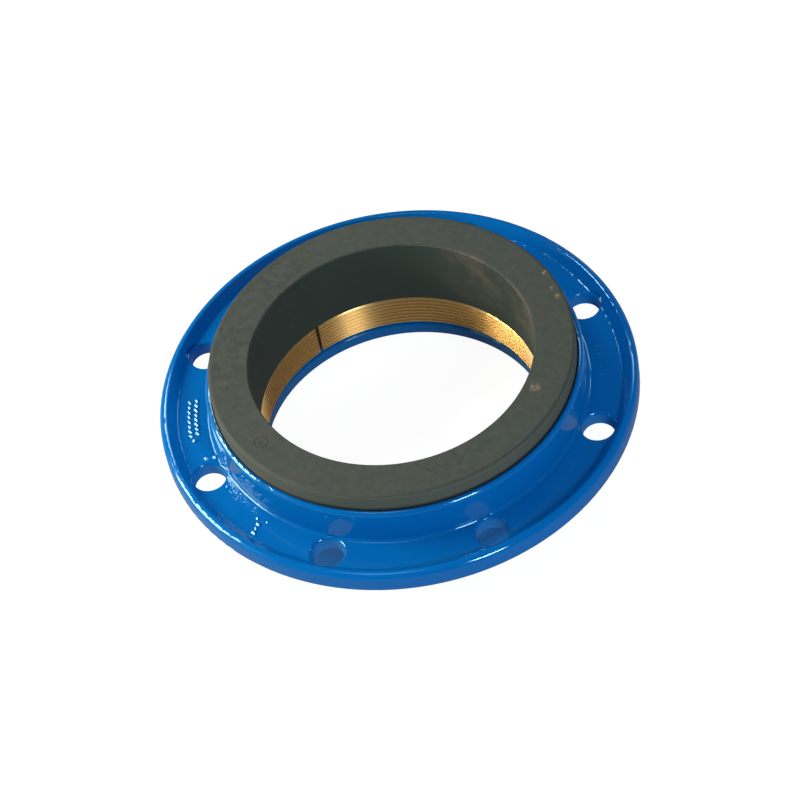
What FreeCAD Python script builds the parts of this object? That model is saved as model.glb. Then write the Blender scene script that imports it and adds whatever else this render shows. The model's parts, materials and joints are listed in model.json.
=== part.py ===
import FreeCAD, Part
import math
import os
import Sketcher

# Flange adaptor that joins a plain-ended plastic pipe to a bolted flange.
#
# Three pieces make it up. A ductile iron flange casting carries the bolt holes and a stepped
# socket. A split brass grip ring with saw teeth sits in the narrow taper of the socket. A thick
# rubber gasket fills the wide mouth above it and stands proud of the casting. When the bolts are
# drawn up, the mating flange pushes the gasket into its cone, which squeezes it on to the pipe,
# and the gasket pushes the grip ring down its taper until the teeth bite.
#
# Frame: millimetres, Z along the pipe, origin in the middle of the end that the pipe enters.
# The sealing face looks towards +Z. The radii are a chain that starts at the pipe and ends at
# the flange's edge, and the heights are a chain that starts at the pipe's entry.

SIZES = {
    # The pipe, and the gaps that let it slide in
    "pipe_diameter": 200.0,
    "entry_gap": 3.0,            # pipe to the casting's entry lip
    "ring_bore_gap": 0.6,        # pipe to the tips of the teeth
    "gasket_bore_gap": 0.6,      # pipe to the gasket
    # Grip ring
    "ring_height": 26.5,
    "ring_foot_wall": 5.5,       # its wall at the narrow end
    "ring_taper": 0.2,           # growth in radius for each millimetre of height
    "ring_chamfer": 0.8,
    "tooth_pitch": 3.4,
    "tooth_depth": 1.1,
    "tooth_land": 0.5,           # blunt tip of a tooth, along the axis
    "tooth_margin": 1.2,         # plain band above and below the teeth
    "slit_width": 2.4,
    "slit_angle": 124.5,         # where the slit is, round the axis, in degrees
    # Gasket
    "gasket_width": 28.6,        # from its bore to its outside
    "gasket_proud": 13.8,        # how far it stands above the casting
    "gasket_face_round": 2.5,
    "gasket_edge_chamfer": 0.8,  # both edges of its bore, and its toe
    # Socket of the casting
    "lip_height": 10.5,          # entry end to the ledge under the ring
    "ring_travel": 5.0,          # room for the ring to be pushed down
    "ring_seat_gap": 0.15,       # ring to its taper, in radius
    "seat_overrun": 1.0,         # taper above the ring
    "cone_slope": 1.0,           # gasket cone: height for each millimetre of radius
    "gasket_seat_gap": 0.3,      # gasket to its cone, in radius
    "gasket_pocket_gap": 0.7,    # gasket to the straight pocket, in radius
    "entry_chamfer": 1.5,
    "ledge_chamfer": 1.0,
    # Hub round the socket
    "barrel_end_wall": 22.0,     # wall of the barrel at the pipe's entry
    "barrel_root_wall": 9.5,     # wall of the barrel behind the flange
    "barrel_end_chamfer": 1.0,
    "barrel_root_round": 4.0,
    "hub_height": 28.0,          # hub above the web
    "hub_lip_land": 0.3,
    "hub_lip_round": 3.3,
    "hub_draft": 0.5,            # foot of the hub's flank outside its top, in radius
    "hub_foot_round": 2.5,
    # Flange
    "back_above_ring": 5.0,      # flange's back above the ring's top
    "web_thickness": 10.5,
    "rim_height": 6.6,           # rim above the web
    "crest_land": 0.6,
    "rim_top_round": 4.6,
    "rim_back_round": 4.5,
    "crest_round": 1.2,
    "rim_wall_run": 6.8,         # radial run of the rim's sloping inner wall
    "rim_foot_round": 2.0,
    # Bolt holes
    "bolt_count": 8,
    "bolt_hole": 23.0,
    "bolt_offset": 13.5,         # foot of the hub to the bolts' circle
    "edge_distance": 22.5,       # bolts' circle to the flange's edge
    "bolt_angle": 22.5,          # first hole round the axis, in degrees
    "mouth_round": 2.4,          # rounding of a hole's mouth
    "mouth_break": 0.2,          # how much of that rounding the web's face cuts off
    "cutter_overrun": 5.0,       # how far a cutting profile runs past what it cuts
}
FULL_TURN = 360.0
NEAR = 1e-3                      # how near an edge has to be to the place that names it
LEAST_CUT = 1.0                  # a cut that takes less than this, in cubic millimetres, has missed
EDGE_POINTS = ("whole", "start", "end", "middle")     # in the order a sketch numbers them


class Size:
    """A length together with the sheet formula that gives it.

    The length draws a sketch and the formula drives it.
    """

    def __init__(self, value, formula):
        self.value = value
        self.formula = formula

    def joined(self, sign, other, value):
        text = other.formula if isinstance(other, Size) else str(other)
        return Size(value, f"({self.formula} {sign} {text})")

    def __add__(self, other):
        return self.joined("+", other, self.value + number(other))

    def __sub__(self, other):
        return self.joined("-", other, self.value - number(other))

    def __mul__(self, other):
        return self.joined("*", other, self.value * number(other))

    def __truediv__(self, other):
        return self.joined("/", other, self.value / number(other))


def number(value):
    return value.value if isinstance(value, Size) else float(value)


def size(name):
    return Size(float(SIZES[name]), f"sizes.{name}")


def size_sheet(doc):
    sheet = doc.addObject("Spreadsheet::Sheet", "sizes")
    for row, (name, value) in enumerate(SIZES.items(), start=1):
        sheet.set(f"A{row}", name)
        sheet.set(f"B{row}", str(value))
        sheet.setAlias(f"B{row}", name)
    doc.recompute()
    return sheet


# Radii, from the pipe outwards
PIPE = size("pipe_diameter") / 2
ENTRY_BORE = PIPE + size("entry_gap")
RING_BORE = PIPE + size("ring_bore_gap")
GASKET_BORE = PIPE + size("gasket_bore_gap")
RING_FOOT = RING_BORE + size("ring_foot_wall")
RING_HEAD = RING_FOOT + size("ring_height") * size("ring_taper")
LEDGE = RING_FOOT + size("ring_seat_gap") - size("ring_travel") * size("ring_taper")
SEAT_TOP = RING_HEAD + size("ring_seat_gap") + size("seat_overrun") * size("ring_taper")
GASKET_OUTSIDE = GASKET_BORE + size("gasket_width")
POCKET = GASKET_OUTSIDE + size("gasket_pocket_gap")
HUB_TOP = POCKET + size("hub_lip_land") + size("hub_lip_round")
HUB_FOOT = HUB_TOP + size("hub_draft")
BOLT_CIRCLE = HUB_FOOT + size("bolt_offset")
FLANGE = BOLT_CIRCLE + size("edge_distance")
CREST = FLANGE - size("rim_top_round") - size("crest_land")
RIM_FOOT = CREST - size("rim_wall_run")
HOLE = size("bolt_hole") / 2

# Heights, from the pipe's entry upwards
LEDGE_HEIGHT = size("lip_height")
RING_BASE = LEDGE_HEIGHT + size("ring_travel")
RING_TOP = RING_BASE + size("ring_height")
CONE_BASE = RING_TOP + size("seat_overrun")
CONE_TOP = CONE_BASE + (POCKET - SEAT_TOP) * size("cone_slope")
FLANGE_BACK = RING_TOP + size("back_above_ring")
WEB_TOP = FLANGE_BACK + size("web_thickness")
CREST_HEIGHT = WEB_TOP + size("rim_height")
HUB_HEIGHT = WEB_TOP + size("hub_height")
SEALING_FACE = HUB_HEIGHT + size("gasket_proud")

# Heights inside the ring and the gasket, each from its own lower face
TEETH_MIDDLE = size("ring_height") / 2
SHOULDER_RUN = GASKET_OUTSIDE + size("gasket_seat_gap") - SEAT_TOP
SHOULDER = CONE_BASE + SHOULDER_RUN * size("cone_slope") - RING_TOP
GASKET_HEIGHT = SEALING_FACE - RING_TOP

# The barrel's outside and the gasket's toe both follow the socket
BARREL_END = ENTRY_BORE + size("barrel_end_wall")
BARREL_ROOT = SEAT_TOP + (FLANGE_BACK - CONE_BASE) / size("cone_slope") + size("barrel_root_wall")
GASKET_TOE = SEAT_TOP - size("seat_overrun") / size("cone_slope") - size("gasket_seat_gap")
ZERO = Size(0.0, "0")            # a place on one of a sketch's own axes


def new_body(doc, name):
    body = doc.addObject("PartDesign::Body", name)
    body.Label = name
    return body


def place_body(body, height, angle_name=None):
    """Puts a body at its height on the pipe's axis, turned by the named angle."""
    body.setExpression("Placement.Base.z", height.formula)
    if angle_name:
        body.Placement.Rotation = FreeCAD.Rotation(FreeCAD.Vector(0, 0, 1), SIZES[angle_name])
        body.setExpression("Placement.Rotation.Angle", f"sizes.{angle_name} * 1 deg")


def new_sketch(body, name, angle_name=None):
    """An upright sketch through the pipe's axis, turned about it by the named angle."""
    plane = next(item for item in body.Origin.OriginFeatures if item.Role == "XZ_Plane")
    sketch = body.newObject("Sketcher::SketchObject", name)
    sketch.AttachmentSupport = [(plane, "")]
    sketch.MapMode = "FlatFace"
    if angle_name:
        turn = FreeCAD.Rotation(FreeCAD.Vector(0, 1, 0), SIZES[angle_name])
        sketch.AttachmentOffset = FreeCAD.Placement(FreeCAD.Vector(), turn)
        sketch.setExpression("AttachmentOffset.Rotation.Angle", f"sizes.{angle_name} * 1 deg")
    return sketch


def hold(sketch, edge, point_name, kind, place):
    """Holds a point of an edge at a distance from the sketch's origin, bound to the sheet."""
    point = EDGE_POINTS.index(point_name)
    if place is ZERO:
        axis = -2 if kind == "DistanceX" else -1
        sketch.addConstraint(Sketcher.Constraint("PointOnObject", edge, point, axis))
        return
    index = sketch.addConstraint(Sketcher.Constraint(kind, -1, 1, edge, point, place.value))
    sketch.setExpression(f"Constraints[{index}]", place.formula)


def draw_outline(sketch, corners, bend=None):
    """A closed outline through corners, each given as (across, up).

    Its edges are straight. bend names one that is a quarter arc, from the top of its circle to
    the left side, as (edge, radius).
    """
    points = [FreeCAD.Vector(across.value, up.value, 0) for across, up in corners]
    bent, radius = bend or (None, ZERO)
    for edge, (start, stop) in enumerate(zip(points, points[1:] + points[:1])):
        if edge == bent:
            middle = FreeCAD.Vector(start.x, start.y - radius.value, 0)
            circle = Part.Circle(middle, FreeCAD.Vector(0, 0, 1), radius.value)
            line = Part.ArcOfCircle(circle, math.pi / 2, math.pi)
        else:
            line = Part.LineSegment(start, stop)
        sketch.addGeometry(line, False)
    start_point, end_point = EDGE_POINTS.index("start"), EDGE_POINTS.index("end")
    for edge in range(len(corners)):
        following = (edge + 1) % len(corners)
        sketch.addConstraint(
            Sketcher.Constraint("Coincident", edge, end_point, following, start_point))
    for edge, (across, up) in enumerate(corners):
        hold(sketch, edge, "start", "DistanceX", across)
        hold(sketch, edge, "start", "DistanceY", up)
        if edge == bent:
            hold(sketch, edge, "middle", "DistanceX", across)


def turn_section(body, name, corners):
    """Turns a section, given as (radius, height) corners, about the pipe's axis."""
    sketch = new_sketch(body, f"{name}_section")
    draw_outline(sketch, corners)
    turned = body.newObject("PartDesign::Revolution", name)
    turned.Profile = sketch
    turned.ReferenceAxis = (sketch, ["V_Axis"])
    turned.Angle = FULL_TURN
    body.Document.recompute()
    return turned


def round_edges(shape, radius, height):
    """Names of the circular edges about the axis that have this radius and height."""
    names = []
    for index, edge in enumerate(shape.Edges, start=1):
        curve = edge.Curve
        if not isinstance(curve, Part.Circle):
            continue
        off_axis = max(abs(curve.Center.x), abs(curve.Center.y))
        misses = (off_axis, abs(curve.Radius - radius.value), abs(curve.Center.z - height.value))
        if max(misses) < NEAR:
            names.append(f"Edge{index}")
    return names


def dress_edge(body, kind, name, size_name, places):
    """A fillet or chamfer on the circular edges at the given (radius, height) places."""
    base = body.Tip
    names = [edge for radius, height in places for edge in round_edges(base.Shape, radius, height)]
    if len(names) != len(places):
        raise RuntimeError(f"{name}: {len(names)} edges found for {len(places)} places")
    feature = body.newObject(f"PartDesign::{kind}", name)
    feature.Base = (base, names)
    property_name = "Radius" if kind == "Fillet" else "Size"
    setattr(feature, property_name, SIZES[size_name])
    feature.setExpression(property_name, f"sizes.{size_name}")
    body.Document.recompute()
    return feature


def check_cut(before, after, name):
    """A cut that points away from the solid shows no error, so the volumes are compared."""
    if after.Volume > before - LEAST_CUT:
        raise RuntimeError(f"{name} removed nothing")


# Flange casting

def flange_casting(doc):
    body = new_body(doc, "flange_body")
    turn_section(body, "casting", [
        (ENTRY_BORE + size("entry_chamfer"), ZERO),
        (BARREL_END, ZERO),
        (BARREL_ROOT, FLANGE_BACK),
        (FLANGE, FLANGE_BACK),
        (FLANGE, CREST_HEIGHT),
        (CREST, CREST_HEIGHT),
        (RIM_FOOT, WEB_TOP),
        (HUB_FOOT, WEB_TOP),
        (HUB_TOP, HUB_HEIGHT),
        (POCKET, HUB_HEIGHT),
        (POCKET, CONE_TOP),
        (SEAT_TOP, CONE_BASE),
        (LEDGE, LEDGE_HEIGHT),
        (ENTRY_BORE, LEDGE_HEIGHT),
        (ENTRY_BORE, size("entry_chamfer")),
    ])
    dress_edge(body, "Fillet", "rim_top", "rim_top_round", [(FLANGE, CREST_HEIGHT)])
    dress_edge(body, "Fillet", "rim_back", "rim_back_round", [(FLANGE, FLANGE_BACK)])
    dress_edge(body, "Fillet", "rim_crest", "crest_round", [(CREST, CREST_HEIGHT)])
    dress_edge(body, "Fillet", "rim_foot", "rim_foot_round", [(RIM_FOOT, WEB_TOP)])
    dress_edge(body, "Fillet", "hub_lip", "hub_lip_round", [(HUB_TOP, HUB_HEIGHT)])
    dress_edge(body, "Fillet", "hub_foot", "hub_foot_round", [(HUB_FOOT, WEB_TOP)])
    dress_edge(body, "Fillet", "barrel_root", "barrel_root_round", [(BARREL_ROOT, FLANGE_BACK)])
    dress_edge(body, "Chamfer", "barrel_end", "barrel_end_chamfer", [(BARREL_END, ZERO)])
    dress_edge(body, "Chamfer", "ring_ledge", "ledge_chamfer", [(ENTRY_BORE, LEDGE_HEIGHT)])
    bolt_holes(body)
    return body


def bolt_holes(body):
    """One hole with a rounded mouth, turned about its own axis and repeated round the flange.

    The mouth runs into the foot of the hub on one side and into the rim's wall on the other.
    """
    before = body.Tip.Shape.Volume
    wall = BOLT_CIRCLE + HOLE
    brim = wall + size("mouth_round")
    brim_height = WEB_TOP + size("mouth_break")
    below = FLANGE_BACK - size("cutter_overrun")
    above = WEB_TOP + size("cutter_overrun")
    sketch = new_sketch(body, "bolt_hole_section", "bolt_angle")
    draw_outline(sketch, [
        (BOLT_CIRCLE, below),
        (BOLT_CIRCLE, above),
        (brim, above),
        (brim, brim_height),
        (wall, brim_height - size("mouth_round")),
        (wall, below),
    ], bend=(3, size("mouth_round")))
    hole = body.newObject("PartDesign::Groove", "bolt_hole")
    hole.Profile = sketch
    hole.ReferenceAxis = (sketch, ["Edge1"])
    hole.Angle = FULL_TURN
    body.Document.recompute()
    check_cut(before, hole.Shape, "bolt_hole")
    ring = body.newObject("PartDesign::PolarPattern", "bolt_holes")
    ring.Originals = [hole]
    axis = next(item for item in body.Origin.OriginFeatures if item.Role == "Z_Axis")
    ring.Axis = (axis, [""])
    ring.Angle = FULL_TURN
    ring.Occurrences = SIZES["bolt_count"]
    ring.setExpression("Occurrences", "sizes.bolt_count")
    body.Tip = ring
    body.Document.recompute()
    check_cut(hole.Shape.Volume, ring.Shape, "bolt_holes")


# Rubber gasket

def rubber_gasket(doc):
    body = new_body(doc, "gasket")
    turn_section(body, "gasket_ring", [
        (GASKET_BORE, ZERO),
        (GASKET_TOE, ZERO),
        (GASKET_OUTSIDE, SHOULDER),
        (GASKET_OUTSIDE, GASKET_HEIGHT),
        (GASKET_BORE, GASKET_HEIGHT),
    ])
    dress_edge(body, "Fillet", "face_edge", "gasket_face_round", [(GASKET_OUTSIDE, GASKET_HEIGHT)])
    dress_edge(body, "Chamfer", "small_edges", "gasket_edge_chamfer", [
        (GASKET_BORE, GASKET_HEIGHT), (GASKET_BORE, ZERO), (GASKET_TOE, ZERO)])
    place_body(body, RING_TOP)
    return body


# Split grip ring

def grip_ring(doc):
    body = new_body(doc, "grip_ring")
    height = size("ring_height")
    corners = [(RING_BORE, ZERO), (RING_FOOT, ZERO), (RING_HEAD, height), (RING_BORE, height)]
    turn_section(body, "ring_blank", corners)
    dress_edge(body, "Chamfer", "ring_edges", "ring_chamfer", corners)
    saw_teeth(body)
    ring_slit(body)
    place_body(body, RING_BASE, "slit_angle")
    return body


def saw_teeth(body):
    """Grooves between the teeth. The ramp faces the pipe's entry, the steep side holds the pipe."""
    before = body.Tip.Shape.Volume
    band = size("ring_height") - size("tooth_margin") * 2
    count = int(band.value // SIZES["tooth_pitch"])
    count_formula = f"floor({band.formula} / sizes.tooth_pitch)"
    teeth_length = size("tooth_pitch") * Size(float(count), count_formula)
    first = TEETH_MIDDLE - teeth_length / 2 + size("tooth_land") / 2
    last = first + size("tooth_pitch") - size("tooth_land")
    clear = RING_BORE - size("tooth_depth")
    sketch = new_sketch(body, "tooth_groove_section")
    draw_outline(sketch, [
        (clear, first),
        (RING_BORE + size("tooth_depth"), first),
        (RING_BORE, last),
        (clear, last),
    ])
    groove = body.newObject("PartDesign::Groove", "tooth_groove")
    groove.Profile = sketch
    groove.ReferenceAxis = (sketch, ["V_Axis"])
    groove.Angle = FULL_TURN
    body.Document.recompute()
    check_cut(before, groove.Shape, "tooth_groove")
    teeth = body.newObject("PartDesign::LinearPattern", "saw_teeth")
    teeth.Originals = [groove]
    teeth.Direction = (sketch, ["V_Axis"])
    teeth.Length = SIZES["tooth_pitch"] * (count - 1)
    teeth.setExpression("Length", f"sizes.tooth_pitch * ({count_formula} - 1)")
    teeth.Occurrences = count
    teeth.setExpression("Occurrences", count_formula)
    body.Tip = teeth
    body.Document.recompute()
    check_cut(groove.Shape.Volume, teeth.Shape, "saw_teeth")


def ring_slit(body):
    """The slit that lets the ring close on the pipe, cut through one side only."""
    before = body.Tip.Shape.Volume
    inside = RING_BORE - size("cutter_overrun")
    outside = RING_HEAD + size("cutter_overrun")
    height = size("ring_height")
    sketch = new_sketch(body, "slit_outline")
    draw_outline(sketch, [(inside, ZERO), (outside, ZERO), (outside, height), (inside, height)])
    slit = body.newObject("PartDesign::Pocket", "slit")
    slit.Profile = sketch
    slit.Type = "Length"
    slit.Midplane = True
    slit.Length = SIZES["slit_width"]
    slit.setExpression("Length", "sizes.slit_width")
    body.Document.recompute()
    check_cut(before, slit.Shape, "slit")


def export_parts(doc, bodies):
    for item in doc.Objects:
        if {"Invalid", "Error"} & set(item.State):
            raise RuntimeError(f"{item.Name} failed: {item.State}")
    for body in bodies:
        if body.Shape.isNull() or not body.Shape.isValid():
            raise RuntimeError(f"{body.Label} has no valid shape")
    os.makedirs("parts", exist_ok=True)
    for body in bodies:
        body.Shape.exportStep(f"parts/{body.Label}.step")
        box = body.Shape.BoundBox
        print(body.Label, "solids", len(body.Shape.Solids), "volume", round(body.Shape.Volume),
              "z", round(box.ZMin, 2), round(box.ZMax, 2), "x", round(box.XMin, 2), round(box.XMax, 2))


def main():
    doc = FreeCAD.newDocument("flange_adaptor")
    size_sheet(doc)
    bodies = [flange_casting(doc), rubber_gasket(doc), grip_ring(doc)]
    doc.recompute()
    export_parts(doc, bodies)


main()
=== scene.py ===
# %% [markdown]
# Flange adaptor for a plastic pipe, dressed for a studio picture.
#
# The real part has three pieces: an iron casting with a blue epoxy coat, a thick rubber gasket in
# its mouth, and a toothed brass ring inside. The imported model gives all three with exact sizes, so
# this lesson leaves their shapes alone. It adds what the solids don't have: the finishes, small
# raised marks on the casting, the light and the camera. Everything is in metres. Z runs along the
# pipe's axis, and the origin is in the middle of the end that stands on the floor.

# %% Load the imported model
import json
import math
import random

import bmesh
import bpy
from mathutils import Matrix, Vector


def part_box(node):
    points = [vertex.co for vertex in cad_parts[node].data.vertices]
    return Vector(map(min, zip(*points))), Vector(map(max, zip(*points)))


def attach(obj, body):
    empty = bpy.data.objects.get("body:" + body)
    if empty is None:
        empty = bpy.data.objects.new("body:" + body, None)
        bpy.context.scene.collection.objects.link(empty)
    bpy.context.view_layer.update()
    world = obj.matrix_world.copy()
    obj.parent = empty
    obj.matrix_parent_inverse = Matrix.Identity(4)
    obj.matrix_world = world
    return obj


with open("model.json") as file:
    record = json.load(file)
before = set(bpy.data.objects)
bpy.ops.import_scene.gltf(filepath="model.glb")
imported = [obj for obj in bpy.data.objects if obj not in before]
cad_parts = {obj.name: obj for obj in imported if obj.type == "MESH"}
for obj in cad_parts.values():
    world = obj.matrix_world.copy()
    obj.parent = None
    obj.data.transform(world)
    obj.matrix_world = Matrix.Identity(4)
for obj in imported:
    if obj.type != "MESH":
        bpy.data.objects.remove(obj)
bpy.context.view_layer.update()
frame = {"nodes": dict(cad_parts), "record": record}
MM = 0.001
casting = frame["nodes"]["flange_body"]
gasket = frame["nodes"]["gasket"]
grip_ring = frame["nodes"]["grip_ring"]

# %% [markdown]
# Sizes that the looks need.
#
# Several finishes change at a known place: the rubber is dusty on its face but not in its bore, and
# the coat is thicker in the bolt holes. The places could be typed in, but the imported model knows
# them. The boxes of its pieces give heights and outer radii, and the mounts in its record give the
# bore and the bolt circle. Read from there, they still fit when the part changes size. What is in
# neither, such as the web's thickness, is a value of its own.

# %% Sizes read from the model
def mount(name):
    """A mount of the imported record, found by its name."""
    return next(row for row in frame["record"]["mounts"] if row["name"] == name)


def top_corner(node):
    """The highest corner of a round piece: its x is the outer radius and its z the top."""
    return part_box(node)[1]


BOLT_COUNT = mount("flange_bolts")["dims"]["count"]
BOLT_CIRCLE = mount("flange_bolts")["dims"]["pcd_mm"] / 2 * MM     # its radius
PIPE_BORE = mount("pipe_bore")["dims"]["r_mm"] * MM                # the gasket's and the teeth's
GASKET_RADIUS = top_corner("gasket").x
GASKET_TOP = top_corner("gasket").z
HUB_TOP = top_corner("flange_body").z
FLANGE_BACK = mount("bolt_face")["pos_m"][2]
WEB_THICKNESS = 10.5 * MM
WEB_TOP = FLANGE_BACK + WEB_THICKNESS
HEIGHTS = {"flange's back": FLANGE_BACK, "web": WEB_TOP, "hub": HUB_TOP, "gasket": GASKET_TOP}
print("heights, mm:", {name: round(height / MM, 1) for name, height in HEIGHTS.items()})

# %% [markdown]
# The camera.
#
# A product shot like this is taken from well above with a long lens, which keeps the round edges
# close to true ellipses. A bare matrix would place the camera too, but nobody can read one. Here
# it is three turns: round the part, up from the horizon, and a lean of the picture itself. That
# says what the view is, and each number can be changed by itself.

# %% Camera
CAMERA_AZIMUTH = math.radians(5.6)      # round the pipe's axis, from the side that faces -Y
CAMERA_ELEVATION = math.radians(49.1)
CAMERA_LEAN = math.radians(-11.7)
CAMERA_DISTANCE = 2.382
LENS_LENGTH = 152.0                     # Blender counts this one in millimetres
AIM_HEIGHT = 55.5 * MM                  # the point on the axis that the camera looks at
AIM_SHIFT = (0.9 * MM, -5.6 * MM)       # how far the picture's middle lies from that point


def make_camera():
    data = bpy.data.cameras.new("product_camera")
    data.lens = LENS_LENGTH
    camera = bpy.data.objects.new("product_camera", data)
    bpy.context.scene.collection.objects.link(camera)
    turn = (Matrix.Rotation(CAMERA_AZIMUTH, 4, "Z")
            @ Matrix.Rotation(math.pi / 2 - CAMERA_ELEVATION, 4, "X")
            @ Matrix.Rotation(CAMERA_LEAN, 4, "Z"))
    stand = turn @ Vector((*AIM_SHIFT, CAMERA_DISTANCE))
    camera.matrix_world = Matrix.Translation(stand + Vector((0, 0, AIM_HEIGHT))) @ turn
    bpy.context.scene.camera = camera
    return camera


camera = make_camera()
print("camera at", [round(c, 3) for c in camera.matrix_world.translation])

# %% [markdown]
# Helpers for node trees.
#
# A material or a sky is a tree of nodes joined by links. It could be drawn by hand in the shader
# editor, but then it can't be read or repeated. In a script each node takes several lines, so a few
# helpers with plain names make the trees below read like sentences.

# %% Nodes and links
def emptied(tree):
    """The tree of a new material or world, without the nodes that come with it."""
    tree.nodes.clear()
    return tree


def add_node(tree, kind, **settings):
    """A node of the given kind, with its settings by name."""
    node = tree.nodes.new(kind)
    for name, value in settings.items():
        setattr(node, name, value)
    return node


def feed(tree, socket, value):
    """Gives an input socket a plain value, or a link from another node's output."""
    if isinstance(value, bpy.types.NodeSocket):
        tree.links.new(value, socket)
    else:
        socket.default_value = value


def show_sum(tree, first, second, output_kind):
    """Adds two shaders and gives the sum to the tree's output."""
    both = add_node(tree, "ShaderNodeAddShader")
    feed(tree, both.inputs[0], first)
    feed(tree, both.inputs[1], second)
    output = add_node(tree, output_kind)
    feed(tree, output.inputs["Surface"], both.outputs[0])


print("helpers for nodes and links are ready")

# %% [markdown]
# Sums inside a tree.
#
# Masks run from 0 to 1. Two of them are joined by their product where both must hold, and by the
# larger one where either will do. A Mix node could do the same, but a Math node says which of the
# two is meant, and these names say it again in the script.

# %% Sums of masks
def math_node(tree, operation, first, second=0.0):
    node = add_node(tree, "ShaderNodeMath", operation=operation)
    feed(tree, node.inputs[0], first)
    feed(tree, node.inputs[1], second)
    return node.outputs[0]


def times(tree, first, second):
    return math_node(tree, "MULTIPLY", first, second)


def plus(tree, first, second):
    return math_node(tree, "ADD", first, second)


def minus(tree, first, second):
    return math_node(tree, "SUBTRACT", first, second)


def larger(tree, first, second):
    return math_node(tree, "MAXIMUM", first, second)


print("sums of masks are ready")

# %% [markdown]
# A background that is white to the eye.
#
# The real picture has a pure white ground. Raising the lamps until the floor clips would wash the
# blue coat out. Instead the ground adds light of its own for the rays that come straight from the
# camera, or through glass. Reflections see only a small share of it. The coat mirrors floor and
# sky at low angles, and with all of the white it would turn pale.

# %% Who sees the white
GLOSSY_SHARE = 0.12                     # how much of the white a reflection sees


def white_seen(tree):
    """How much of the white background a ray sees."""
    path = add_node(tree, "ShaderNodeLightPath")
    mirrored = times(tree, path.outputs["Is Glossy Ray"], GLOSSY_SHARE)
    straight = larger(tree, path.outputs["Is Camera Ray"], path.outputs["Is Transmission Ray"])
    return larger(tree, straight, mirrored)


def spreading_ray(tree):
    """1 for the rays that gather even light for a surface, 0 for all others."""
    return add_node(tree, "ShaderNodeLightPath").outputs["Is Diffuse Ray"]


print(f"reflections see {GLOSSY_SHARE:.0%} of the white")

# %% [markdown]
# The floor.
#
# The part stands on a pale sheet. A sheet that is pale to every ray lays a bright veil on the
# gloss, and one that is dark to every ray takes away the light that bounces back up on the rim's
# side and into the holes. So the paint has two values: dark to the eye and in reflections, where
# the glow covers it, and pale to the light that it throws back. The glow alone stops just short of
# white, and the lamps bring the rest, which leaves room for the part's soft shadow.

# %% Floor
FLOOR_SIZE = 30.0
FLOOR_SEEN = 0.15                       # how pale the paint is to the eye and in reflections
FLOOR_BOUNCE = 0.60                     # and to the light that it throws back up on the part
FLOOR_GLOW = 0.93                       # light of its own that brings the lit floor up to white


def floor_finish():
    material = bpy.data.materials.new("studio_floor")
    material.use_nodes = True
    tree = emptied(material.node_tree)
    paint = add_node(tree, "ShaderNodeBsdfDiffuse")
    bounce = times(tree, spreading_ray(tree), FLOOR_BOUNCE - FLOOR_SEEN)
    feed(tree, paint.inputs["Color"], plus(tree, bounce, FLOOR_SEEN))
    glow = add_node(tree, "ShaderNodeEmission")
    feed(tree, glow.inputs["Strength"], times(tree, white_seen(tree), FLOOR_GLOW))
    show_sum(tree, paint.outputs[0], glow.outputs[0], "ShaderNodeOutputMaterial")
    return material


def make_floor():
    mesh = bpy.data.meshes.new("studio_floor")
    half = FLOOR_SIZE / 2
    corners = [(-half, -half, 0), (half, -half, 0), (half, half, 0), (-half, half, 0)]
    mesh.from_pydata(corners, [], [(0, 1, 2, 3)])
    mesh.materials.append(floor_finish())
    floor = bpy.data.objects.new("studio_floor", mesh)
    bpy.context.scene.collection.objects.link(floor)
    return floor


floor = make_floor()
print("floor with", len(floor.data.polygons), "face,", FLOOR_SIZE, "m wide")

# %% [markdown]
# The sky.
#
# A studio has pale walls and a dark ceiling. A picture of a room could stand in for it, but two
# ramps over the height above the horizon are enough, and each can be set by itself. The first is
# what the eye and, in part, reflections see: white at the horizon, where the floor ends, and nearly
# black overhead. The second is the even light that the part gets. It is slightly blue, and stronger
# from low down, which keeps the flanks of hub and rim bright while the level web stays deep.

# %% Sky
SKY_HORIZON = (1.0, 1.0, 1.0, 1)
SKY_OVERHEAD = (0.015, 0.018, 0.022, 1)
LIGHT_LOW = (0.78, 0.90, 1.12, 1)
LIGHT_HIGH = (0.16, 0.19, 0.28, 1)
HORIZON_ENDS = 0.04                     # this and the next two are heights on a dome of radius 1
SKY_DARK_FROM = 0.36
LIGHT_WEAK_FROM = 0.42


def dome(tree, height, low_colour, high_colour, ends, strength):
    """A background that goes from one colour at the horizon to another from a given height on."""
    ramp = add_node(tree, "ShaderNodeValToRGB")
    low, high = ramp.color_ramp.elements
    low.position = HORIZON_ENDS
    low.color = low_colour
    high.position = ends
    high.color = high_colour
    feed(tree, ramp.inputs[0], height)
    background = add_node(tree, "ShaderNodeBackground")
    feed(tree, background.inputs["Color"], ramp.outputs[0])
    feed(tree, background.inputs["Strength"], strength)
    return background.outputs[0]


def make_sky():
    world = bpy.data.worlds.new("studio_sky")
    bpy.context.scene.world = world
    world.use_nodes = True
    tree = emptied(world.node_tree)
    direction = add_node(tree, "ShaderNodeSeparateXYZ")
    feed(tree, direction.inputs[0], add_node(tree, "ShaderNodeTexCoord").outputs["Generated"])
    height = direction.outputs["Z"]
    seen = dome(tree, height, SKY_HORIZON, SKY_OVERHEAD, SKY_DARK_FROM, white_seen(tree))
    given = dome(tree, height, LIGHT_LOW, LIGHT_HIGH, LIGHT_WEAK_FROM, spreading_ray(tree))
    show_sum(tree, seen, given, "ShaderNodeOutputWorld")
    return world


sky = make_sky()
bpy.context.scene.view_settings.view_transform = "Standard"
print(sky.name, "has", len(sky.node_tree.nodes), "nodes")

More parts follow.
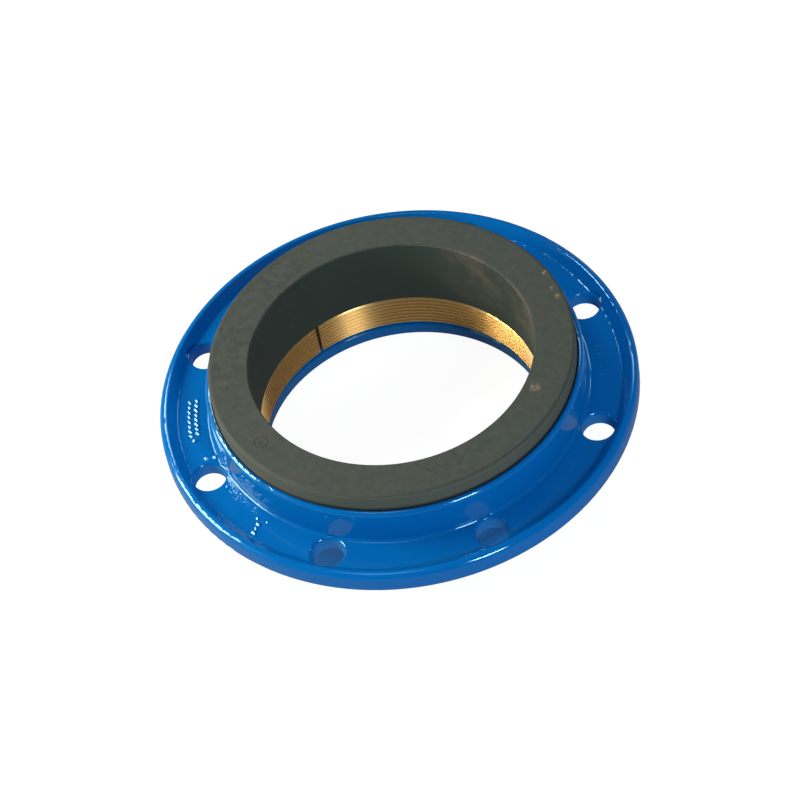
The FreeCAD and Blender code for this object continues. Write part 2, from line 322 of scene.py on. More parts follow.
# %% [markdown]
# The lamps.
#
# Glossy paint is described by what it mirrors. The strongest light is a low soft box on the left,
# which draws the bright lines along the rim, the lip and the foot of the hub. It is a small strong
# core in a wide dim window, so the lines have a soft border. A cool strip in front lights the near
# flank, two small boxes behind draw the far lines, and a dim one overhead fills in. Each is placed
# by its direction from the part, because that is how a photographer moves it.

# %% Soft boxes
WHITE = (1.0, 1.0, 1.0)
WINDOW_TINT = (1.0, 0.935, 0.73)
COOL = (0.90, 0.98, 1.0)
SOFT_BOXES = {
    # name: (azimuth, elevation, distance in metres, width, height, watts, tint)
    "left_window": (180.0, 28.0, 1.25, 1.20, 0.50, 1.6, WINDOW_TINT),
    "left_core": (176.0, 27.0, 1.20, 0.58, 0.46, 17.0, WINDOW_TINT),
    "back_left": (128.0, 45.0, 1.45, 0.36, 0.34, 6.5, WHITE),
    "back_right": (62.0, 42.0, 1.50, 0.60, 0.22, 2.8, WHITE),
    "front_strip": (-62.0, 34.0, 1.60, 0.34, 0.40, 14.0, COOL),
    "top_box": (200.0, 80.0, 1.70, 0.40, 0.40, 1.4, WHITE),
}
LIT_POINT = Vector((0, 0, 60 * MM))     # what all of them aim at


def make_soft_box(name, azimuth, elevation, distance, width, height, power, tint):
    data = bpy.data.lights.new(name, "AREA")
    data.shape = "RECTANGLE"
    data.size = width
    data.size_y = height
    data.energy = power
    data.color = tint
    lamp = bpy.data.objects.new(name, data)
    bpy.context.scene.collection.objects.link(lamp)
    level, turn = math.radians(elevation), math.radians(azimuth)
    away = Vector((math.cos(level) * math.cos(turn), math.cos(level) * math.sin(turn),
                   math.sin(level)))
    lamp.location = LIT_POINT + away * distance
    lamp.rotation_euler = away.to_track_quat("Z", "Y").to_euler()
    return lamp


for name, setting in SOFT_BOXES.items():
    lamp = make_soft_box(name, *setting)
    print(name, "at", [round(c, 2) for c in lamp.location], "with", round(lamp.data.energy, 1), "W")

# %% [markdown]
# Shared effects as node groups.
#
# Nothing real is one even colour. Three effects come back on these pieces: soft blotches from
# uneven coating or handling, dust that settles on what faces up, and fine scuffs. Their nodes could
# be copied into each material, but then each mend has to be made in every copy. A group is built
# once, has named inputs and puts out a mask, and each finish places it with values of its own.

# %% Group builder
def new_group(name, numbers):
    """A shader group with number inputs, given as {name: default}, that puts out one mask."""
    group = bpy.data.node_groups.new(name, "ShaderNodeTree")
    for label, default in numbers.items():
        socket = group.interface.new_socket(label, in_out="INPUT", socket_type="NodeSocketFloat")
        socket.default_value = default
    group.interface.new_socket("Mask", in_out="OUTPUT", socket_type="NodeSocketFloat")
    start = group.nodes.new("NodeGroupInput")
    end = group.nodes.new("NodeGroupOutput")
    return group, start.outputs, end.inputs


def place_on_piece(tree):
    """Where a point is, counted from the origin. It keeps to the piece, whatever the view."""
    return add_node(tree, "ShaderNodeTexCoord").outputs["Object"]


print("the builder of groups is ready")

# %% [markdown]
# Noise, and how it becomes a mask.
#
# Noise is a cloudy value around 0.5 all through space, so it has no seams, unlike a picture that is
# wrapped round a piece. A Map Range node cuts a band out of it: below the band the mask is 0, above
# it 1, and inside it rises. The same node turns a radius or a height into a soft border, which is
# how dust, shade and dirt are kept to one part of a piece.

# %% Noise and soft borders
def noise(tree, where, scale, detail=3.0, roughness=0.55):
    node = add_node(tree, "ShaderNodeTexNoise")
    feed(tree, node.inputs["Vector"], where)
    feed(tree, node.inputs["Scale"], scale)
    feed(tree, node.inputs["Detail"], detail)
    feed(tree, node.inputs["Roughness"], roughness)
    return node.outputs["Fac"]


def rising(tree, value, low, high):
    """0 below low, 1 above high, and a straight rise between them."""
    node = add_node(tree, "ShaderNodeMapRange", clamp=True)
    feed(tree, node.inputs["Value"], value)
    feed(tree, node.inputs["From Min"], low)
    feed(tree, node.inputs["From Max"], high)
    return node.outputs["Result"]


def falling(tree, value, low, high):
    """1 below low, 0 above high."""
    return minus(tree, 1.0, rising(tree, value, low, high))


print("noise and soft borders are ready")

# %% [markdown]
# Soft blotches.
#
# A sprayed coat is thicker here than there, rubber wears unevenly, and bare brass browns where it
# has been handled. All three look like clouds with soft borders, so one group serves them: noise
# with much detail, and a band around its middle whose width is the softness of the borders.

# %% Blotches
def blotch_group():
    group, given, taken = new_group("soft_blotches", {"Scale": 20.0, "Softness": 0.2})
    clouds = noise(group, place_on_piece(group), given["Scale"], detail=5.0, roughness=0.62)
    low = minus(group, 0.5, given["Softness"])
    high = plus(group, 0.5, given["Softness"])
    feed(group, taken["Mask"], rising(group, clouds, low, high))
    return group


BLOTCHES = blotch_group()
print("group", BLOTCHES.name, "has", len(BLOTCHES.nodes), "nodes")

# %% [markdown]
# Settled dust.
#
# Dust falls, so it lies on what faces up and leaves upright walls clean. The surface's normal tells
# the two apart on any piece, without a mask painted by hand. Patches of noise break the layer up,
# and the evenness keeps a thin film of it between the patches.

# %% Dust
FACES_UP = (0.35, 0.95)                 # the normal's Z where dust begins to lie, and where it is full
DUST_PATCHES = (0.30, 0.70)             # the band of the noise that the patches rise in


def dust_group():
    group, given, taken = new_group(
        "settled_dust", {"Patch Scale": 40.0, "Amount": 0.5, "Evenness": 0.0})
    normal = add_node(group, "ShaderNodeSeparateXYZ")
    feed(group, normal.inputs[0], add_node(group, "ShaderNodeNewGeometry").outputs["Normal"])
    upward = rising(group, normal.outputs["Z"], *FACES_UP)
    clouds = noise(group, place_on_piece(group), given["Patch Scale"], detail=6.0)
    patches = larger(group, rising(group, clouds, *DUST_PATCHES), given["Evenness"])
    feed(group, taken["Mask"], times(group, times(group, upward, patches), given["Amount"]))
    return group


DUST = dust_group()
print("group", DUST.name, "has", len(DUST.nodes), "nodes")

# %% [markdown]
# Fine scuffs.
#
# Parts that are stacked and dragged get hair-thin scratches that run much the same way. Noise that
# is drawn out along one direction makes long bands, and the line where it crosses its middle value
# is thin and slightly bent, as a scratch is. A second noise breaks the lines up, since no scratch
# runs on for ever. Curves laid on the surface would do too, but hundreds of them would be needed.

# %% Scuffs
DRAWN_OUT = (0.12, 1.0, 1.0)            # squeezing X makes the bands eight times as long as wide
SCUFF_BREAKS = (0.55, 0.68)             # the band of the second noise that lets a line through


def scuff_group():
    group, given, taken = new_group("fine_scuffs", {"Scale": 60.0, "Width": 0.01, "Turn": 0.6})
    where = place_on_piece(group)
    turned = add_node(group, "ShaderNodeVectorRotate", rotation_type="Z_AXIS")
    feed(group, turned.inputs["Vector"], where)
    feed(group, turned.inputs["Angle"], given["Turn"])
    drawn_out = add_node(group, "ShaderNodeVectorMath", operation="MULTIPLY")
    feed(group, drawn_out.inputs[0], turned.outputs[0])
    feed(group, drawn_out.inputs[1], DRAWN_OUT)
    bands = noise(group, drawn_out.outputs[0], given["Scale"], detail=1.0)
    off_middle = math_node(group, "ABSOLUTE", minus(group, bands, 0.5))
    lines = falling(group, off_middle, 0.0, given["Width"])
    broken = rising(group, noise(group, where, given["Scale"], detail=2.0), *SCUFF_BREAKS)
    feed(group, taken["Mask"], times(group, lines, broken))
    return group


SCUFFS = scuff_group()
print("group", SCUFFS.name, "has", len(SCUFFS.nodes), "nodes")

# %% [markdown]
# Helpers for finishes.
#
# A finish is one Principled shader whose colour, roughness and normal change over the surface. The
# real surface got its look in layers, first the coat or the rubber, then wear, dust and stains, and
# the colour is built in the same order. A list of layers keeps that order in plain sight, where a
# long chain of Mix nodes would hide it.

# %% A new finish and its colours
def new_finish(name):
    material = bpy.data.materials.new(name)
    material.use_nodes = True
    tree = emptied(material.node_tree)
    shader = add_node(tree, "ShaderNodeBsdfPrincipled")
    output = add_node(tree, "ShaderNodeOutputMaterial")
    feed(tree, output.inputs["Surface"], shader.outputs[0])
    return material, tree, shader.inputs


def effect(tree, group, **values):
    """A shared group in this finish, with its values given by the sockets' names."""
    node = add_node(tree, "ShaderNodeGroup", node_tree=group)
    for name, value in values.items():
        feed(tree, node.inputs[name.replace("_", " ")], value)
    return node.outputs["Mask"]


def blend_colours(tree, amount, first, second):
    node = add_node(tree, "ShaderNodeMix", data_type="RGBA")
    feed(tree, node.inputs["Factor"], amount)
    feed(tree, node.inputs["A"], first)
    feed(tree, node.inputs["B"], second)
    return node.outputs["Result"]


def laid_over(tree, colour, layers):
    """A colour with others laid over it in turn. layers are rows of (mask, strength, colour)."""
    for mask, strength, layer in layers:
        colour = blend_colours(tree, times(tree, mask, strength), colour, layer)
    return colour


print("layers of colour are ready")

# %% [markdown]
# Gloss and relief.
#
# The same masks that shift the colour also shift the gloss, because a thicker, dirtier or scratched
# spot shines differently. Relief that is too fine to model, such as orange peel, a moulded skin or
# a scratch, is a bump: it tilts the normal and leaves the shape as it is. Its depth is given in
# metres, so a tenth of a millimetre means that.

# %% Gloss and relief
def between(tree, amount, low, high):
    """low where amount is 0 and high where it is 1."""
    node = add_node(tree, "ShaderNodeMapRange", clamp=True)
    feed(tree, node.inputs["Value"], amount)
    feed(tree, node.inputs["To Min"], low)
    feed(tree, node.inputs["To Max"], high)
    return node.outputs["Result"]


def raise_surface(tree, height, depth, base=None):
    """A bump of the given depth, on top of an earlier one. A negative depth is a dent."""
    node = add_node(tree, "ShaderNodeBump")
    feed(tree, node.inputs["Strength"], 1.0)
    feed(tree, node.inputs["Distance"], depth)
    feed(tree, node.inputs["Height"], height)
    if base:
        feed(tree, node.inputs["Normal"], base)
    return node.outputs["Normal"]


print("gloss and relief are ready")

# %% [markdown]
# Places on a round part.
#
# Everything here turns round one axis, so a place is easiest to name by radius, azimuth and height,
# as on a lathe. Inside a tree the radius is the length of the point's X and Y, and the height is
# its Z. A spot such as a stain is the distance from its middle. Painting such things by hand would
# need a flattened map of each piece, and none is needed this way.

# %% Places on the part
def polar(radius, azimuth, height):
    """A place by its radius and height in metres and its azimuth in degrees."""
    turn = math.radians(azimuth)
    return Vector((radius * math.cos(turn), radius * math.sin(turn), height))


def radius_at(tree, where):
    flat = add_node(tree, "ShaderNodeVectorMath", operation="MULTIPLY")
    feed(tree, flat.inputs[0], where)
    feed(tree, flat.inputs[1], (1.0, 1.0, 0.0))
    length = add_node(tree, "ShaderNodeVectorMath", operation="LENGTH")
    feed(tree, length.inputs[0], flat.outputs[0])
    return length.outputs["Value"]


def height_at(tree, where):
    split = add_node(tree, "ShaderNodeSeparateXYZ")
    feed(tree, split.inputs[0], where)
    return split.outputs["Z"]


def distance_to(tree, where, place):
    gap = add_node(tree, "ShaderNodeVectorMath", operation="DISTANCE")
    feed(tree, gap.inputs[0], where)
    feed(tree, gap.inputs[1], place)
    return gap.outputs["Value"]


print("the bolt circle passes", [round(c / MM, 1) for c in polar(BOLT_CIRCLE, 90, WEB_TOP)], "mm")

# %% [markdown]
# Where the blue coat differs.
#
# Powder that melts on hot iron runs together inside the bolt holes and behind the flange, and it
# stays rougher there. The same places get a lighter blue, which is painted light for what the floor
# throws up into the holes and onto the barrel. On the hub's lip, next to the rubber, lies a thin
# dark line of painted shade. A mask for the holes could come from eight painted discs, but the
# distance to the nearest hole's middle gives all eight at once, and a radius with a height gives
# the other two.

# %% Places on the casting
HOLE_PITCH = 360 / BOLT_COUNT           # in degrees
HOLE_MIDDLE = FLANGE_BACK + 4.0 * MM    # half way up the straight part of a hole's wall
BOLT_HOLES = [polar(BOLT_CIRCLE, HOLE_PITCH * (number + 0.5), HOLE_MIDDLE)
              for number in range(BOLT_COUNT)]
HOLE_REACH = (12.3 * MM, 13.2 * MM)     # from the middle of a hole to the ends of its wall
BEHIND_FLANGE = (FLANGE_BACK - 1.0 * MM, FLANGE_BACK + 0.3 * MM)
BARREL_RADIUS = (118.0 * MM, 123.0 * MM)
LIP_RADIUS = (GASKET_RADIUS + 1.0 * MM, GASKET_RADIUS + 2.4 * MM)
LIP_HEIGHT = (HUB_TOP - 1.3 * MM, HUB_TOP - 0.6 * MM)


def in_bolt_holes(tree, where):
    """1 on the walls of the bolt holes, 0 on the web around them."""
    nearest = 1.0
    for middle in BOLT_HOLES:
        nearest = math_node(tree, "MINIMUM", nearest, distance_to(tree, where, middle))
    return falling(tree, nearest, *HOLE_REACH)


def on_barrel(tree, where):
    """1 on the outside of the barrel behind the flange."""
    behind = falling(tree, height_at(tree, where), *BEHIND_FLANGE)
    return times(tree, behind, rising(tree, radius_at(tree, where), *BARREL_RADIUS))


def on_inner_lip(tree, where):
    """1 on the edge of the hub's top that touches the rubber."""
    inner = falling(tree, radius_at(tree, where), *LIP_RADIUS)
    return times(tree, inner, rising(tree, height_at(tree, where), *LIP_HEIGHT))


print("first bolt hole, mm:", [round(c / MM, 1) for c in BOLT_HOLES[0]])

# %% [markdown]
# Blue epoxy on the casting.
#
# The real coat is a thick glossy powder coat. It has no grain, but it flows into a slight orange
# peel and follows the cast skin below. A saturated base with low roughness gives the gloss, two
# bumps of different size give the peel and the casting, and blotches shift colour and gloss by a
# few percent. What the coat mirrors is tinted with its own blue: a plain mirror turns such a deep
# blue grey at low angles, and the real coat stays blue there.

# %% Blue epoxy
EPOXY_BLUE = (0.0003, 0.120, 0.39, 1)
EPOXY_DEEP = (0.0002, 0.104, 0.35, 1)
# a lighter blue, painted light for what the floor throws up into the bolt holes and onto the barrel
EPOXY_BOUNCE_LIT = (0.0004, 0.14, 0.43, 1)
EPOXY_SHADE = (0.0001, 0.010, 0.035, 1)
EPOXY_DUST = (0.30, 0.36, 0.42, 1)
EPOXY_MIRROR = (0.48, 0.82, 1.0, 1)     # the tint of what it mirrors
EPOXY_MIRROR_LEVEL = 0.7
EPOXY_ROUGHNESS = (0.06, 0.10)
ROUGHER_IN_SCUFFS = 0.12
ROUGHER_WHERE_THICK = 0.36
CAST_SKIN_DEPTH = 0.03 * MM
ORANGE_PEEL_DEPTH = 0.006 * MM


def blue_epoxy():
    material, tree, shader = new_finish("blue_epoxy")
    where = place_on_piece(tree)
    uneven = effect(tree, BLOTCHES, Scale=9.0, Softness=0.22)
    dust = effect(tree, DUST, Patch_Scale=55.0, Amount=0.006)
    scuffs = effect(tree, SCUFFS, Scale=45.0, Width=0.004, Turn=0.9)
    # the thicker, rougher coat; its lighter blue is painted bounce light
    thick = larger(tree, in_bolt_holes(tree, where), on_barrel(tree, where))
    feed(tree, shader["Base Color"], laid_over(tree, EPOXY_BLUE, [
        (uneven, 1.0, EPOXY_DEEP),
        (thick, 1.0, EPOXY_BOUNCE_LIT),
        # painted shade on the hub's lip, next to the rubber
        (on_inner_lip(tree, where), 0.8, EPOXY_SHADE),
        (dust, 1.0, EPOXY_DUST),
    ]))
    feed(tree, shader["Specular IOR Level"], EPOXY_MIRROR_LEVEL)
    feed(tree, shader["Specular Tint"], EPOXY_MIRROR)
    scuffed = plus(tree, between(tree, uneven, *EPOXY_ROUGHNESS),
                   times(tree, scuffs, ROUGHER_IN_SCUFFS))
    feed(tree, shader["Roughness"], plus(tree, scuffed, times(tree, thick, ROUGHER_WHERE_THICK)))
    skin = raise_surface(tree, noise(tree, where, scale=60.0, detail=0.0), CAST_SKIN_DEPTH)
    peel = noise(tree, where, scale=420.0, detail=0.0)
    feed(tree, shader["Normal"], raise_surface(tree, peel, ORANGE_PEEL_DEPTH, skin))
    return material


BLUE_EPOXY = blue_epoxy()
print(BLUE_EPOXY.name, "has", len(BLUE_EPOXY.node_tree.nodes), "nodes")

# %% [markdown]
# Spots on the gasket.
#
# A gasket that has lain in a yard has spots that no noise would put in the right place: a few rusty
# stains, two patches rubbed dark, and dust in the joint at the front left. Two brown patches high in
# the bore at the back right are placed the same way. Each spot is a place with a reach, full in the
# middle and gone at the reach. Most of them are broken up with noise where they are used, since a
# clean round spot looks printed.

# %% Soft spots
SPOT_CORE = 0.35                        # share of its reach over which a spot is full


def near_places(tree, where, places):
    """1 at each place, falling to 0 at its reach. places are rows of (place, reach)."""
    mask = 0.0
    for place, reach in places:
        spot = falling(tree, distance_to(tree, where, place), reach * SPOT_CORE, reach)
        mask = larger(tree, mask, spot)
    return mask


def on_face(radius, azimuth):
    """A place on the gasket's face, by its radius in millimetres and its azimuth in degrees."""
    return polar(radius * MM, azimuth, GASKET_TOP)


STAINED = [(on_face(109.0, -27.0), 5.0 * MM), (on_face(125.5, 26.0), 3.0 * MM),
           (on_face(123.1, 18.6), 2.5 * MM), (on_face(123.5, 14.6), 2.5 * MM)]
SCRUBBED = [(on_face(116.0, 172.0), 62.0 * MM), (on_face(118.0, 135.0), 50.0 * MM)]
BORE_BROWN_PLACES = [(polar(PIPE_BORE, 48.0, GASKET_TOP - 15.3 * MM), 44.0 * MM),
           (polar(PIPE_BORE, 18.0, GASKET_TOP - 17.3 * MM), 42.0 * MM)]
JOINT_DUST = [(polar(GASKET_RADIUS, -155.0, HUB_TOP + 1.0 * MM), 95.0 * MM)]
print("spots on the gasket:", sum(len(rows) for rows in (STAINED, SCRUBBED, BORE_BROWN_PLACES, JOINT_DUST)))

# %% [markdown]
# Scratches on the gasket's face.
#
# At the front the face has three straight scratches. The general scuffs can't be steered, so these
# are drawn one by one. The foot of a point on a line is found by the dot product and cut off at the
# line's ends, and the distance to that foot says how near the point is.

# %% Single scratches
SCRATCHED = [(on_face(103.5, -83.6), on_face(123.5, -75.1), 1.1 * MM),
             (on_face(110.7, -78.0), on_face(123.0, -73.9), 0.9 * MM),
             (on_face(104.6, -60.0), on_face(116.0, -69.6), 1.1 * MM)]
SCRATCH_CORE = 0.3                      # share of its half width over which a scratch is full


def distance_to_line(tree, where, start, end):
    way = end - start
    off = add_node(tree, "ShaderNodeVectorMath", operation="SUBTRACT")
    feed(tree, off.inputs[0], where)
    feed(tree, off.inputs[1], start)
    along = add_node(tree, "ShaderNodeVectorMath", operation="DOT_PRODUCT")
    feed(tree, along.inputs[0], off.outputs[0])
    feed(tree, along.inputs[1], way / way.length_squared)
    share = math_node(tree, "MINIMUM", 1.0, larger(tree, 0.0, along.outputs["Value"]))
    foot = add_node(tree, "ShaderNodeVectorMath", operation="SCALE")
    feed(tree, foot.inputs[0], way)
    feed(tree, foot.inputs["Scale"], share)
    return distance_to(tree, off.outputs[0], foot.outputs[0])


def near_lines(tree, where, lines):
    """1 along each straight scratch, 0 beside it. lines are rows of (start, end, half width)."""
    mask = 0.0
    for start, end, half_width in lines:
        gap = distance_to_line(tree, where, start, end)
        mask = larger(tree, mask, falling(tree, gap, half_width * SCRATCH_CORE, half_width))
    return mask


print("scratches, mm long:", [round((end - start).length / MM, 1) for start, end, _ in SCRATCHED])

# %% [markdown]
# Moulded marks on the gasket's face.
#
# The mould leaves a small ring and a few dots in the rubber. They are a fraction of a millimetre
# deep, far too fine to be worth a mesh, so they are a mask that darkens the face and dents it by a
# bump. A ring is the set of points whose distance from its middle is near its radius. It is kept
# plain, and says nothing.

# %% Moulded ring and dots
RING_MIDDLE = on_face(114.1, -144.2)
RING_RADIUS = 4.8 * MM
RING_LINE = (0.3 * MM, 0.9 * MM)        # from the ring's radius, how far it is full, and gone
DOTS = [(RING_MIDDLE, 2.2 * MM), (on_face(115.7, -173.1), 2.4 * MM),
        (on_face(114.3, -163.7), 2.0 * MM), (on_face(112.4, -79.3), 1.3 * MM),
        (on_face(112.0, -77.6), 1.3 * MM), (on_face(111.6, -75.8), 1.3 * MM)]


def moulded_marks(tree, where):
    off_radius = minus(tree, distance_to(tree, where, RING_MIDDLE), RING_RADIUS)
    ring = falling(tree, math_node(tree, "ABSOLUTE", off_radius), *RING_LINE)
    return larger(tree, ring, near_places(tree, where, DOTS))


print("moulded marks: a ring and", len(DOTS), "dots")

# %% [markdown]
# Zones of the gasket.
#
# Its face, its bore and its outside look unlike each other. The face takes dust, and the bore stays
# near black with a green tint. The outside is paler, partly from dust and partly as painted light
# that brings the side wall up to the face, and a line of painted shade runs round the joint where
# it leaves the hub. Three materials would need the mesh to be split, and would meet in hard lines.
# Masks from the radius and the height keep it one piece with soft borders.

# %% Zones of the gasket
BORE_EDGE = (PIPE_BORE + 0.4 * MM, PIPE_BORE + 2.4 * MM)            # where the bore becomes the face
OUTER_EDGE = (GASKET_RADIUS - 0.8 * MM, GASKET_RADIUS - 0.1 * MM)   # and the face the outside
# the painted shade in the joint, where the gasket leaves the hub
JOINT_SHADE = (HUB_TOP + 0.5 * MM, HUB_TOP + 2.7 * MM)              # the dark line all round
JOINT_BAND = (HUB_TOP + 1.1 * MM, HUB_TOP + 3.3 * MM)               # and the dust that lies over it


def gasket_zones(tree, where):
    """Masks of the bore, the outside, the shade in the joint and the band of dust over it."""
    radius = radius_at(tree, where)
    height = height_at(tree, where)
    bore = falling(tree, radius, *BORE_EDGE)
    outside = rising(tree, radius, *OUTER_EDGE)
    shade = times(tree, falling(tree, height, *JOINT_SHADE), outside)
    band = times(tree, falling(tree, height, *JOINT_BAND), outside)
    return bore, outside, shade, band


print("the bore becomes the face between radii", [round(edge / MM, 1) for edge in BORE_EDGE], "mm")

# %% [markdown]
# Colours of the rubber, layer by layer.
#
# The rubber is moulded and cured, so it is dull, and it picks up talc and yard dust. Its face reads
# as olive grey rather than black. A single grey looks like plastic. The layers below give what the
# eye expects: worn rubber, dust with earthy clouds in it, rubbed patches, scuffs, the brown patches
# in the bore, rusty stains, the moulded marks, and last the paler outside, partly dust and partly
# painted light, the painted shade in its joint and the dust over that.

# %% Rubber's colour
RUBBER_CLEAN = (0.021, 0.036, 0.029, 1)
RUBBER_WORN = (0.027, 0.039, 0.031, 1)
RUBBER_DUST = (0.058, 0.059, 0.044, 1)
RUBBER_EARTH = (0.066, 0.052, 0.034, 1)
RUBBER_BORE_BROWN = (0.115, 0.090, 0.068, 1)
RUBBER_STAIN = (0.30, 0.22, 0.10, 1)
RUBBER_MARK = (0.018, 0.020, 0.017, 1)
# the paler side wall: dust, and painted light that brings it up to the face
RUBBER_SIDE_DUST_AND_LIGHT = (0.080, 0.098, 0.072, 1)
RUBBER_SHADE = (0.004, 0.006, 0.008, 1)
RUBBER_JOINT = (0.20, 0.17, 0.13, 1)
EARTH_CLOUDS = (0.45, 0.62)             # this and the next two are bands of their noises
RUBBED_FRAY = (0.44, 0.58)
STAIN_GRAINS = (0.42, 0.60)
# this share of paler colour is also painted light on the side wall
OUTSIDE_DUST_AND_LIGHT = 0.6                      # the least dust on the outside, where little settles


def rubber_colour(tree, where, worn, scuffs, marks):
    bore, outside, shade, band = gasket_zones(tree, where)
    settled = effect(tree, DUST, Patch_Scale=170.0, Amount=0.58, Evenness=0.22)
    dust = larger(tree, settled, times(tree, outside, OUTSIDE_DUST_AND_LIGHT))
    clouds = rising(tree, noise(tree, where, scale=34.0, detail=6.0, roughness=0.7), *EARTH_CLOUDS)
    fray = rising(tree, noise(tree, where, scale=150.0, detail=5.0, roughness=0.7), *RUBBED_FRAY)
    grains = rising(tree, noise(tree, where, scale=700.0), *STAIN_GRAINS)
    bore_brown = times(tree, near_places(tree, where, BORE_BROWN_PLACES), times(tree, bore, clouds))
    return laid_over(tree, RUBBER_CLEAN, [
        (worn, 1.0, RUBBER_WORN),
        (dust, 1.0, laid_over(tree, RUBBER_DUST, [(clouds, 0.8, RUBBER_EARTH)])),
        (times(tree, near_places(tree, where, SCRUBBED), fray), 0.50, RUBBER_MARK),
        (scuffs, 0.30, RUBBER_DUST),
        (bore_brown, 0.55, RUBBER_BORE_BROWN),
        (times(tree, near_places(tree, where, STAINED), grains), 0.7, RUBBER_STAIN),
        (marks, 0.50, RUBBER_MARK),
        # the paler outside: dust, and painted light on the side wall
        (outside, 0.5, RUBBER_SIDE_DUST_AND_LIGHT),
        # painted shade in the joint
        (shade, 0.85, RUBBER_SHADE),
        (times(tree, band, near_places(tree, where, JOINT_DUST)), 0.45, RUBBER_JOINT),
    ])


print("the face goes from", RUBBER_CLEAN[:3], "where it is clean to", RUBBER_DUST[:3], "with dust")

# %% [markdown]
# Black rubber of the gasket.
#
# Up close the moulded skin is finely pebbled over slow, shallow dents. Two bumps give that, and the
# moulded marks, the scratches and the scuffs are pressed in on top of them. The roughness is high
# throughout, and the worn places are the dullest, so the lamps leave no clear lines on it.

# %% Black rubber
SKIN_DEPTH = 0.03 * MM
DENT_DEPTH = 0.06 * MM
MARK_DEPTH = 0.2 * MM
SCUFF_DEPTH = 0.05 * MM
SCRATCH_STRENGTH = 0.6                  # against the moulded marks
RUBBER_ROUGHNESS = (0.66, 0.84)


def black_rubber():
    material, tree, shader = new_finish("black_rubber")
    where = place_on_piece(tree)
    worn = effect(tree, BLOTCHES, Scale=60.0, Softness=0.25)
    scuffs = effect(tree, SCUFFS, Scale=32.0, Width=0.006, Turn=0.5)
    scratches = times(tree, near_lines(tree, where, SCRATCHED), SCRATCH_STRENGTH)
    marks = larger(tree, moulded_marks(tree, where), scratches)
    feed(tree, shader["Base Color"], rubber_colour(tree, where, worn, scuffs, marks))
    feed(tree, shader["Roughness"], between(tree, worn, *RUBBER_ROUGHNESS))
    skin = raise_surface(tree, noise(tree, where, scale=900.0), SKIN_DEPTH)
    dents = raise_surface(tree, noise(tree, where, scale=70.0, detail=2.0), DENT_DEPTH, skin)
    marked = raise_surface(tree, marks, -MARK_DEPTH, dents)
    feed(tree, shader["Normal"], raise_surface(tree, scuffs, -SCUFF_DEPTH, marked))
    return material


BLACK_RUBBER = black_rubber()
print(BLACK_RUBBER.name, "has", len(BLACK_RUBBER.node_tree.nodes), "nodes")

# %% [markdown]
# Turned brass of the grip ring.
#
# The ring is cut on a lathe. Its metal carries fine lines that run round it, and they stretch every
# highlight across themselves. The anisotropic part of the shader does just that once its tangent
# runs round the axis. The lines are noise that is squeezed hard in height and left long round the
# ring. Bare brass browns where it is handled, and dirt gathers at the roots of the teeth. Neither
# is clean metal, so both also lower the metallic value.

# %% Turned brass
BRASS_BRIGHT = (1.0, 0.68, 0.28, 1)
BRASS_BROWN = (0.72, 0.42, 0.14, 1)
BRASS_GROOVE = (0.16, 0.09, 0.03, 1)
TOOTH_ROOT = (PIPE_BORE + 0.55 * MM, PIPE_BORE + 1.0 * MM)    # dirt thickens from here outward
MOST_BROWN = 0.45
MOST_DIRT = 0.48
LATHE_LINES = (5.0, 5.0, 900.0)         # how finely the noise changes along X, Y and Z
ROUGHER_IN_LINES = 0.08
BRASS_ROUGHNESS = (0.32, 0.46)          # this and the next run from clean to dull
BRASS_METALLIC = (0.90, 0.55)


def turned_brass():
    material, tree, shader = new_finish("brass")
    where = place_on_piece(tree)
    brown = times(tree, effect(tree, BLOTCHES, Scale=14.0, Softness=0.28), MOST_BROWN)
    dirt = times(tree, rising(tree, radius_at(tree, where), *TOOTH_ROOT), MOST_DIRT)
    dull = larger(tree, dirt, brown)
    feed(tree, shader["Base Color"], laid_over(tree, BRASS_BRIGHT, [
        (brown, 1.0, BRASS_BROWN),
        (dirt, 1.0, BRASS_GROOVE),
    ]))
    feed(tree, shader["Metallic"], between(tree, dull, *BRASS_METALLIC))
    squeezed = add_node(tree, "ShaderNodeVectorMath", operation="MULTIPLY")
    feed(tree, squeezed.inputs[0], where)
    feed(tree, squeezed.inputs[1], LATHE_LINES)
    lines = noise(tree, squeezed.outputs[0], scale=1.0, detail=1.0)
    feed(tree, shader["Roughness"], plus(tree, between(tree, dull, *BRASS_ROUGHNESS),
                                         times(tree, lines, ROUGHER_IN_LINES)))
    feed(tree, shader["Anisotropic"], 1.0)
    feed(tree, shader["Anisotropic Rotation"], 0.25)
    round_axis = add_node(tree, "ShaderNodeTangent", direction_type="RADIAL", axis="Z")
    feed(tree, shader["Tangent"], round_axis.outputs[0])
    return material


BRASS = turned_brass()
print(BRASS.name, "has", len(BRASS.node_tree.nodes), "nodes")

# %% [markdown]
# Dressing the pieces.
#
# Each imported piece has one material slot. Its shape is right, so it isn't replaced by a new mesh:
# putting the finish into the slot changes nothing else.

# %% Put the finishes on the imported pieces
FINISHES = {casting: BLUE_EPOXY, gasket: BLACK_RUBBER, grip_ring: BRASS}
for piece, finish in FINISHES.items():
    piece.material_slots[0].material = finish
    print(piece.name, "wears", finish.name)

# %% [markdown]
# Raised marks on the web.
#
# Foundries cast small marks into the flat between the bolt holes: pips and short bars, with
# sloping flanks and rounded tops because a round cutter cut them into the mould. A bump could fake
# them, but their flanks have to catch the low lamp as real slopes do, and a bump this steep breaks
# up into bubbles. So each is a small mesh, an outline that is drawn in and lifted ring by ring.

# %% Domed pads
PAD_SINK = 0.05 * MM                    # how far a pad's foot goes below the web
END_STEPS = 7                           # steps round each half-round end of a pad
# share of the half width by which each ring is drawn in, and share of the height it stands at
PAD_PROFILE = [(0.0, 0.0), (0.08, 0.10), (0.80, 0.91), (0.90, 0.98), (0.97, 1.0)]
FLANK_RATIO = 0.89                      # run against rise of the profile's straight flank


